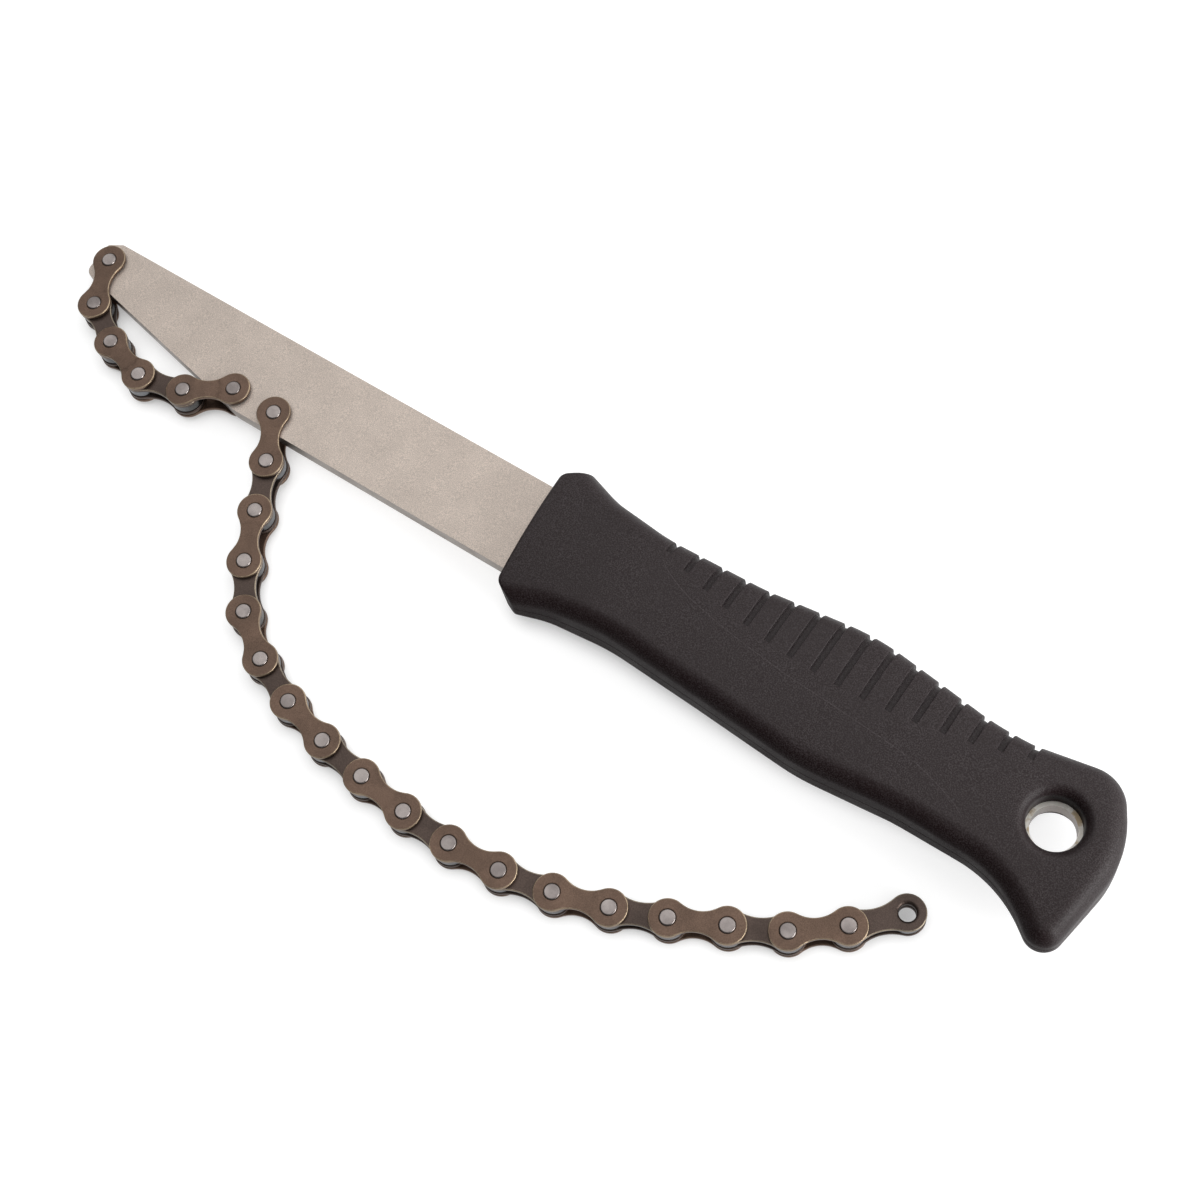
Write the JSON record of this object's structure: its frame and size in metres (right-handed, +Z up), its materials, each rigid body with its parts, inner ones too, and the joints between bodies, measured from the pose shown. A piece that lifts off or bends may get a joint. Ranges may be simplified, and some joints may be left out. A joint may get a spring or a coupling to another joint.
{
  "type": "bicycle chain whip",
  "caption": "Chain whip: a flat steel blade with a moulded grip, a short roller chain across its tip and a longer one beside it, to hold a cassette still.",
  "frame": {"origin": "on the table, at the middle of the footprint's box", "axes": "+X along the tool from the chain end to the butt of the handle, +Y to the side away from the chains, +Z up"},
  "size_m": [0.288, 0.0921, 0.0211],
  "materials": {
    "blade_steel": "satin nickel plate",
    "handle_rubber": "satin moulded rubbery plastic",
    "outer_plate": "browned satin steel",
    "inner_plate": "dark browned satin steel",
    "pin": "satin steel",
    "roller": "ground steel"
  },
  "bodies": {
    "tool": {"blade": "blade_steel", "handle": "handle_rubber"},
    "short_1": {"short_1_outer_plates": "outer_plate", "short_1_pins": "pin"},
    "short_2": {"short_2_inner_plates": "inner_plate"},
    "short_2_roller_near": {"short_2_roller_near": "roller"},
    "short_2_roller_far": {"short_2_roller_far": "roller"},
    "short_3": {"short_3_outer_plates": "outer_plate", "short_3_pins": "pin"},
    "short_4": {"short_4_inner_plates": "inner_plate"},
    "short_4_roller_near": {"short_4_roller_near": "roller"},
    "short_4_roller_far": {"short_4_roller_far": "roller"},
    "short_5": {"short_5_outer_plates": "outer_plate", "short_5_pins": "pin"},
    "long_1": {"long_1_outer_plates": "outer_plate", "long_1_pins": "pin"},
    "long_2": {"long_2_inner_plates": "inner_plate"},
    "long_2_roller_near": {"long_2_roller_near": "roller"},
    "long_2_roller_far": {"long_2_roller_far": "roller"},
    "long_3": {"long_3_outer_plates": "outer_plate", "long_3_pins": "pin"},
    "long_4": {"long_4_inner_plates": "inner_plate"},
    "long_4_roller_near": {"long_4_roller_near": "roller"},
    "long_4_roller_far": {"long_4_roller_far": "roller"},
    "long_5": {"long_5_outer_plates": "outer_plate", "long_5_pins": "pin"},
    "long_6": {"long_6_inner_plates": "inner_plate"},
    "long_6_roller_near": {"long_6_roller_near": "roller"},
    "long_6_roller_far": {"long_6_roller_far": "roller"},
    "long_7": {"long_7_outer_plates": "outer_plate", "long_7_pins": "pin"},
    "long_8": {"long_8_inner_plates": "inner_plate"},
    "long_8_roller_near": {"long_8_roller_near": "roller"},
    "long_8_roller_far": {"long_8_roller_far": "roller"},
    "long_9": {"long_9_outer_plates": "outer_plate", "long_9_pins": "pin"},
    "long_10": {"long_10_inner_plates": "inner_plate"},
    "long_10_roller_near": {"long_10_roller_near": "roller"},
    "long_10_roller_far": {"long_10_roller_far": "roller"},
    "long_11": {"long_11_outer_plates": "outer_plate", "long_11_pins": "pin"},
    "long_12": {"long_12_inner_plates": "inner_plate"},
    "long_12_roller_near": {"long_12_roller_near": "roller"},
    "long_12_roller_far": {"long_12_roller_far": "roller"},
    "long_13": {"long_13_outer_plates": "outer_plate", "long_13_pins": "pin"},
    "long_14": {"long_14_inner_plates": "inner_plate"},
    "long_14_roller_near": {"long_14_roller_near": "roller"},
    "long_14_roller_far": {"long_14_roller_far": "roller"},
    "long_15": {"long_15_outer_plates": "outer_plate", "long_15_pins": "pin"},
    "long_16": {"long_16_inner_plates": "inner_plate"},
    "long_16_roller_near": {"long_16_roller_near": "roller"},
    "long_16_roller_far": {"long_16_roller_far": "roller"},
    "long_17": {"long_17_outer_plates": "outer_plate", "long_17_pins": "pin"},
    "long_18": {"long_18_inner_plates": "inner_plate"},
    "long_18_roller_near": {"long_18_roller_near": "roller"},
    "long_18_roller_far": {"long_18_roller_far": "roller"}
  },
  "joints": [
    {"name": "short_1_hinge", "type": "hinge", "parent": "tool", "child": "short_1", "pos_m": [-0.14022, 0.0337, 0.00366], "axis": [-0.0332, 0, 0.9994], "range_deg": [-8, 2.2]},
    {"name": "short_2_hinge", "type": "hinge", "parent": "short_1", "child": "short_2", "pos_m": [-0.13536, 0.02197, 0.00382], "axis": [-0.0332, 0, 0.9994], "range_deg": [-4.26, 15.36]},
    {"name": "short_3_hinge", "type": "hinge", "parent": "short_2", "child": "short_3", "pos_m": [-0.12437, 0.01562, 0.00419], "axis": [-0.0332, 0, 0.9994], "range_deg": [-3.17, 0.91]},
    {"name": "short_4_hinge", "type": "hinge", "parent": "short_3", "child": "short_4", "pos_m": [-0.1122, 0.01201, 0.00459], "axis": [-0.0332, 0, 0.9994], "range_deg": [-7.74, 2.16]},
    {"name": "short_5_hinge", "type": "hinge", "parent": "short_4", "child": "short_5", "pos_m": [-0.09972, 0.01433, 0.005], "axis": [-0.0332, 0, 0.9994], "range_deg": [-1.67, 0.49]},
    {"name": "long_1_hinge", "type": "hinge", "parent": "tool", "child": "long_1", "pos_m": [-0.0762, 0.02096, 0.00579], "axis": [-0.0049, -0.0325, 0.9995], "range_deg": [-47, 2]},
    {"name": "long_2_hinge", "type": "hinge", "parent": "long_1", "child": "long_2", "pos_m": [-0.06995, 0.00991, 0.00546], "axis": [-0.0049, -0.0325, 0.9995], "range_deg": [-52, 2]},
    {"name": "long_3_hinge", "type": "hinge", "parent": "long_2", "child": "long_3", "pos_m": [-0.06459, -0.00158, 0.00487], "axis": [-0.0211, 0.0433, -0.9988], "range_deg": [-2, 69]},
    {"name": "long_4_hinge", "type": "hinge", "parent": "long_3", "child": "long_4", "pos_m": [-0.05903, -0.01299, 0.00426], "axis": [0.0211, -0.0433, 0.9988], "range_deg": [-35, 2]},
    {"name": "long_5_hinge", "type": "hinge", "parent": "long_4", "child": "long_5", "pos_m": [-0.05139, -0.02312, 0.00382], "axis": [0.0143, -0.0096, 0.9999], "range_deg": [-35, 2]},
    {"name": "long_6_hinge", "type": "hinge", "parent": "long_5", "child": "long_6", "pos_m": [-0.04086, -0.03022, 0.0036], "axis": [-0.0143, 0.0096, -0.9999], "range_deg": [-2, 86]},
    {"name": "long_7_hinge", "type": "hinge", "parent": "long_6", "child": "long_7", "pos_m": [-0.02905, -0.03488, 0.0036], "axis": [0, 0, 1], "range_deg": [-38, 2]},
    {"name": "long_8_hinge", "type": "hinge", "parent": "long_7", "child": "long_8", "pos_m": [-0.01675, -0.03806, 0.0036], "axis": [0, 0, -1], "range_deg": [-4, 62]},
    {"name": "long_9_hinge", "type": "hinge", "parent": "long_8", "child": "long_9", "pos_m": [-0.00419, -0.03993, 0.0036], "axis": [0, 0, 1], "range_deg": [-78, 4]},
    {"name": "long_10_hinge", "type": "hinge", "parent": "long_9", "child": "long_10", "pos_m": [0.00843, -0.04137, 0.0036], "axis": [0, 0, -1], "range_deg": [-4, 91]},
    {"name": "long_11_hinge", "type": "hinge", "parent": "long_10", "child": "long_11", "pos_m": [0.02112, -0.0417, 0.0036], "axis": [0, 0, 1], "range_deg": [-43, 4]},
    {"name": "long_12_hinge", "type": "hinge", "parent": "long_11", "child": "long_12", "pos_m": [0.03378, -0.04071, 0.0036], "axis": [0, 0, -1], "range_deg": [-6, 60]},
    {"name": "long_13_hinge", "type": "hinge", "parent": "long_12", "child": "long_13", "pos_m": [0.04625, -0.03828, 0.0036], "axis": [0, 0, 1], "range_deg": [-55, 8]},
    {"name": "long_14_hinge", "type": "hinge", "parent": "long_13", "child": "long_14", "pos_m": [0.05836, -0.03447, 0.0036], "axis": [0, 0, -1], "range_deg": [-10, 120]},
    {"name": "long_15_hinge", "type": "hinge", "parent": "long_14", "child": "long_15", "pos_m": [0.07005, -0.0295, 0.0036], "axis": [0, 0, 1], "range_deg": [-90, 12]},
    {"name": "long_16_hinge", "type": "hinge", "parent": "long_15", "child": "long_16", "pos_m": [0.08151, -0.02404, 0.0036], "axis": [0, 0, -1], "range_deg": [-20, 120]},
    {"name": "long_17_hinge", "type": "hinge", "parent": "long_16", "child": "long_17", "pos_m": [0.09278, -0.01817, 0.0036], "axis": [0, 0, 1], "range_deg": [-120, 106]},
    {"name": "long_18_hinge", "type": "hinge", "parent": "long_17", "child": "long_18", "pos_m": [0.10279, -0.01035, 0.0036], "axis": [0, 0, -1], "range_deg": [-107, 120]},
    {"name": "short_2_roller_near_spin", "type": "hinge", "parent": "short_2", "child": "short_2_roller_near", "pos_m": [-0.13536, 0.02197, 0.00382], "axis": [-0.0332, 0, 0.9994], "continuous": true},
    {"name": "short_2_roller_far_spin", "type": "hinge", "parent": "short_2", "child": "short_2_roller_far", "pos_m": [-0.12437, 0.01562, 0.00419], "axis": [-0.0332, 0, 0.9994], "continuous": true},
    {"name": "short_4_roller_near_spin", "type": "hinge", "parent": "short_4", "child": "short_4_roller_near", "pos_m": [-0.1122, 0.01201, 0.00459], "axis": [-0.0332, 0, 0.9994], "continuous": true},
    {"name": "short_4_roller_far_spin", "type": "hinge", "parent": "short_4", "child": "short_4_roller_far", "pos_m": [-0.09972, 0.01433, 0.005], "axis": [-0.0332, 0, 0.9994], "continuous": true},
    {"name": "long_2_roller_near_spin", "type": "hinge", "parent": "long_2", "child": "long_2_roller_near", "pos_m": [-0.06995, 0.00991, 0.00546], "axis": [0.0101, -0.0466, 0.9989], "continuous": true},
    {"name": "long_2_roller_far_spin", "type": "hinge", "parent": "long_2", "child": "long_2_roller_far", "pos_m": [-0.06459, -0.00158, 0.00487], "axis": [0.0101, -0.0466, 0.9989], "continuous": true},
    {"name": "long_4_roller_near_spin", "type": "hinge", "parent": "long_4", "child": "long_4_roller_near", "pos_m": [-0.05903, -0.01299, 0.00426], "axis": [0.0207, -0.0275, 0.9994], "continuous": true},
    {"name": "long_4_roller_far_spin", "type": "hinge", "parent": "long_4", "child": "long_4_roller_far", "pos_m": [-0.05139, -0.02312, 0.00382], "axis": [0.0207, -0.0275, 0.9994], "continuous": true},
    {"name": "long_6_roller_near_spin", "type": "hinge", "parent": "long_6", "child": "long_6_roller_near", "pos_m": [-0.04086, -0.03022, 0.0036], "axis": [0, 0, 1], "continuous": true},
    {"name": "long_6_roller_far_spin", "type": "hinge", "parent": "long_6", "child": "long_6_roller_far", "pos_m": [-0.02905, -0.03488, 0.0036], "axis": [0, 0, 1], "continuous": true},
    {"name": "long_8_roller_near_spin", "type": "hinge", "parent": "long_8", "child": "long_8_roller_near", "pos_m": [-0.01675, -0.03806, 0.0036], "axis": [0, 0, 1], "continuous": true},
    {"name": "long_8_roller_far_spin", "type": "hinge", "parent": "long_8", "child": "long_8_roller_far", "pos_m": [-0.00419, -0.03993, 0.0036], "axis": [0, 0, 1], "continuous": true},
    {"name": "long_10_roller_near_spin", "type": "hinge", "parent": "long_10", "child": "long_10_roller_near", "pos_m": [0.00843, -0.04137, 0.0036], "axis": [0, 0, 1], "continuous": true},
    {"name": "long_10_roller_far_spin", "type": "hinge", "parent": "long_10", "child": "long_10_roller_far", "pos_m": [0.02112, -0.0417, 0.0036], "axis": [0, 0, 1], "continuous": true},
    {"name": "long_12_roller_near_spin", "type": "hinge", "parent": "long_12", "child": "long_12_roller_near", "pos_m": [0.03378, -0.04071, 0.0036], "axis": [0, 0, 1], "continuous": true},
    {"name": "long_12_roller_far_spin", "type": "hinge", "parent": "long_12", "child": "long_12_roller_far", "pos_m": [0.04625, -0.03828, 0.0036], "axis": [0, 0, 1], "continuous": true},
    {"name": "long_14_roller_near_spin", "type": "hinge", "parent": "long_14", "child": "long_14_roller_near", "pos_m": [0.05836, -0.03447, 0.0036], "axis": [0, 0, 1], "continuous": true},
    {"name": "long_14_roller_far_spin", "type": "hinge", "parent": "long_14", "child": "long_14_roller_far", "pos_m": [0.07005, -0.0295, 0.0036], "axis": [0, 0, 1], "continuous": true},
    {"name": "long_16_roller_near_spin", "type": "hinge", "parent": "long_16", "child": "long_16_roller_near", "pos_m": [0.08151, -0.02404, 0.0036], "axis": [0, 0, 1], "continuous": true},
    {"name": "long_16_roller_far_spin", "type": "hinge", "parent": "long_16", "child": "long_16_roller_far", "pos_m": [0.09278, -0.01817, 0.0036], "axis": [0, 0, 1], "continuous": true},
    {"name": "long_18_roller_near_spin", "type": "hinge", "parent": "long_18", "child": "long_18_roller_near", "pos_m": [0.10279, -0.01035, 0.0036], "axis": [0, 0, 1], "continuous": true},
    {"name": "long_18_roller_far_spin", "type": "hinge", "parent": "long_18", "child": "long_18_roller_far", "pos_m": [0.11145, -0.00106, 0.0036], "axis": [0, 0, 1], "continuous": true}
  ],
  "couplings": [
    {"joint": "short_2_hinge", "follows": "short_1_hinge", "ratio": -1.914},
    {"joint": "short_3_hinge", "follows": "short_1_hinge", "ratio": 0.3895},
    {"joint": "short_4_hinge", "follows": "short_1_hinge", "ratio": 0.9612},
    {"joint": "short_5_hinge", "follows": "short_1_hinge", "ratio": 0.2019}
  ]
}
